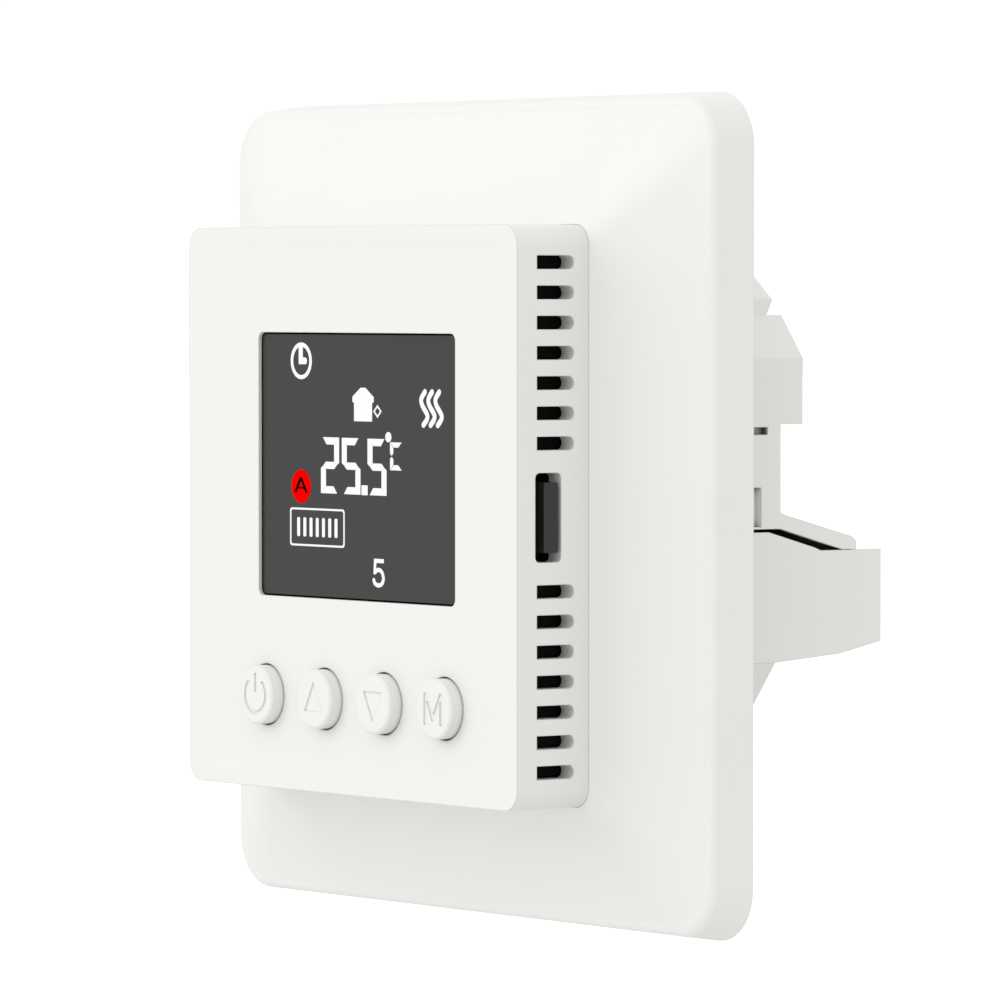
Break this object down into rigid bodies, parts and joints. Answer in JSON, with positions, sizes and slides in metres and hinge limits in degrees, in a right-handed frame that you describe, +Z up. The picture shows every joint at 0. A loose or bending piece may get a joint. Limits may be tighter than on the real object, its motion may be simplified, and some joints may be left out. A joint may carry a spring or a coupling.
{
  "type": "wall thermostat",
  "caption": "Flush wall thermostat: square decor frame, raised control unit with dark display, push buttons and side vents, and a wired base for a round wall box.",
  "frame": {"origin": "centre of the decor frame on the wall plane, midway between the wall box screws", "axes": "+X right as seen from the room, +Y into the wall, +Z up; the display faces -Y"},
  "size_m": [0.08, 0.0472, 0.08],
  "materials": {
    "front_plastic": "fine grain",
    "key_plastic": "fine grain",
    "base_plastic": "fine grain",
    "display_pane": "satin dark pane",
    "lcd_glass": "dark",
    "light_guide": "diffusing",
    "black_plastic": "satin",
    "plunger_plastic": "satin",
    "circuit_board": "solder mask",
    "chip_resin": "moulded resin",
    "zinc_steel": "zinc plated",
    "spring_steel": "drawn wire",
    "sensor_epoxy": "dipped bead",
    "tinned_brass": "tinned",
    "relay_plastic": "moulded case",
    "can_aluminium": "sleeved can",
    "varistor_resin": "dipped disc",
    "fuse_glass": "clear tube"
  },
  "bodies": {
    "thermostat_base": {"front_cover": "front_plastic", "display_window": "display_pane", "lcd_panel": "lcd_glass", "lcd_backlight": "light_guide", "lcd_holder": "black_plastic", "tact_switches": "black_plastic", "control_board": "circuit_board", "control_chips": "chip_resin", "board_screws": "zinc_steel", "room_sensor": "sensor_epoxy", "header_pins": "tinned_brass", "header_socket": "black_plastic", "inner_chassis": "black_plastic", "decor_frame": "front_plastic", "mounting_plate": "zinc_steel", "housing_lid": "base_plastic", "housing_screws": "zinc_steel", "rear_housing": "base_plastic", "terminal_block": "base_plastic", "contact_bars": "tinned_brass", "power_board": "circuit_board", "relay": "relay_plastic", "power_supply": "chip_resin", "capacitors": "can_aluminium", "varistor": "varistor_resin", "fuse_link": "fuse_glass"},
    "power_key": {"power_button": "key_plastic", "power_plunger": "plunger_plastic"},
    "up_key": {"up_button": "key_plastic", "up_plunger": "plunger_plastic"},
    "down_key": {"down_button": "key_plastic", "down_plunger": "plunger_plastic"},
    "menu_key": {"menu_button": "key_plastic", "menu_plunger": "plunger_plastic"},
    "latch": {"release_latch": "black_plastic", "latch_spring": "spring_steel"},
    "screw_1": {"terminal_screw_1": "zinc_steel"},
    "cage_1": {"terminal_cage_1": "zinc_steel"},
    "screw_2": {"terminal_screw_2": "zinc_steel"},
    "cage_2": {"terminal_cage_2": "zinc_steel"},
    "screw_3": {"terminal_screw_3": "zinc_steel"},
    "cage_3": {"terminal_cage_3": "zinc_steel"},
    "screw_4": {"terminal_screw_4": "zinc_steel"},
    "cage_4": {"terminal_cage_4": "zinc_steel"},
    "screw_5": {"terminal_screw_5": "zinc_steel"},
    "cage_5": {"terminal_cage_5": "zinc_steel"},
    "screw_6": {"terminal_screw_6": "zinc_steel"},
    "cage_6": {"terminal_cage_6": "zinc_steel"}
  },
  "joints": [
    {"name": "power_press", "type": "slide", "parent": "thermostat_base", "child": "power_key", "axis": [0, 1, 0], "range_m": [0, 0.0005], "stiffness_N_per_m": 3000},
    {"name": "up_press", "type": "slide", "parent": "thermostat_base", "child": "up_key", "axis": [0, 1, 0], "range_m": [0, 0.0005], "stiffness_N_per_m": 3000},
    {"name": "down_press", "type": "slide", "parent": "thermostat_base", "child": "down_key", "axis": [0, 1, 0], "range_m": [0, 0.0005], "stiffness_N_per_m": 3000},
    {"name": "menu_press", "type": "slide", "parent": "thermostat_base", "child": "menu_key", "axis": [0, 1, 0], "range_m": [0, 0.0005], "stiffness_N_per_m": 3000},
    {"name": "latch_press", "type": "slide", "parent": "thermostat_base", "child": "latch", "axis": [-1, 0, 0], "range_m": [0, 0.0014], "stiffness_N_per_m": 800},
    {"name": "clamp_turn_1", "type": "hinge", "parent": "thermostat_base", "child": "screw_1", "pos_m": [-0.02, 0.0257, -0.009], "axis": [0, -1, 0], "range_deg": [0, 2160]},
    {"name": "clamp_rise_1", "type": "slide", "parent": "thermostat_base", "child": "cage_1", "axis": [0, 1, 0], "range_m": [0, 0.003]},
    {"name": "clamp_turn_2", "type": "hinge", "parent": "thermostat_base", "child": "screw_2", "pos_m": [-0.012, 0.0257, -0.009], "axis": [0, -1, 0], "range_deg": [0, 2160]},
    {"name": "clamp_rise_2", "type": "slide", "parent": "thermostat_base", "child": "cage_2", "axis": [0, 1, 0], "range_m": [0, 0.003]},
    {"name": "clamp_turn_3", "type": "hinge", "parent": "thermostat_base", "child": "screw_3", "pos_m": [-0.004, 0.0257, -0.009], "axis": [0, -1, 0], "range_deg": [0, 2160]},
    {"name": "clamp_rise_3", "type": "slide", "parent": "thermostat_base", "child": "cage_3", "axis": [0, 1, 0], "range_m": [0, 0.003]},
    {"name": "clamp_turn_4", "type": "hinge", "parent": "thermostat_base", "child": "screw_4", "pos_m": [0.004, 0.0257, -0.009], "axis": [0, -1, 0], "range_deg": [0, 2160]},
    {"name": "clamp_rise_4", "type": "slide", "parent": "thermostat_base", "child": "cage_4", "axis": [0, 1, 0], "range_m": [0, 0.003]},
    {"name": "clamp_turn_5", "type": "hinge", "parent": "thermostat_base", "child": "screw_5", "pos_m": [0.012, 0.0257, -0.009], "axis": [0, -1, 0], "range_deg": [0, 2160]},
    {"name": "clamp_rise_5", "type": "slide", "parent": "thermostat_base", "child": "cage_5", "axis": [0, 1, 0], "range_m": [0, 0.003]},
    {"name": "clamp_turn_6", "type": "hinge", "parent": "thermostat_base", "child": "screw_6", "pos_m": [0.02, 0.0257, -0.009], "axis": [0, -1, 0], "range_deg": [0, 2160]},
    {"name": "clamp_rise_6", "type": "slide", "parent": "thermostat_base", "child": "cage_6", "axis": [0, 1, 0], "range_m": [0, 0.003]}
  ],
  "couplings": [
    {"joint": "clamp_turn_1", "follows": "clamp_rise_1", "rad_per_m": 12566},
    {"joint": "clamp_turn_2", "follows": "clamp_rise_2", "rad_per_m": 12566},
    {"joint": "clamp_turn_3", "follows": "clamp_rise_3", "rad_per_m": 12566},
    {"joint": "clamp_turn_4", "follows": "clamp_rise_4", "rad_per_m": 12566},
    {"joint": "clamp_turn_5", "follows": "clamp_rise_5", "rad_per_m": 12566},
    {"joint": "clamp_turn_6", "follows": "clamp_rise_6", "rad_per_m": 12566}
  ]
}
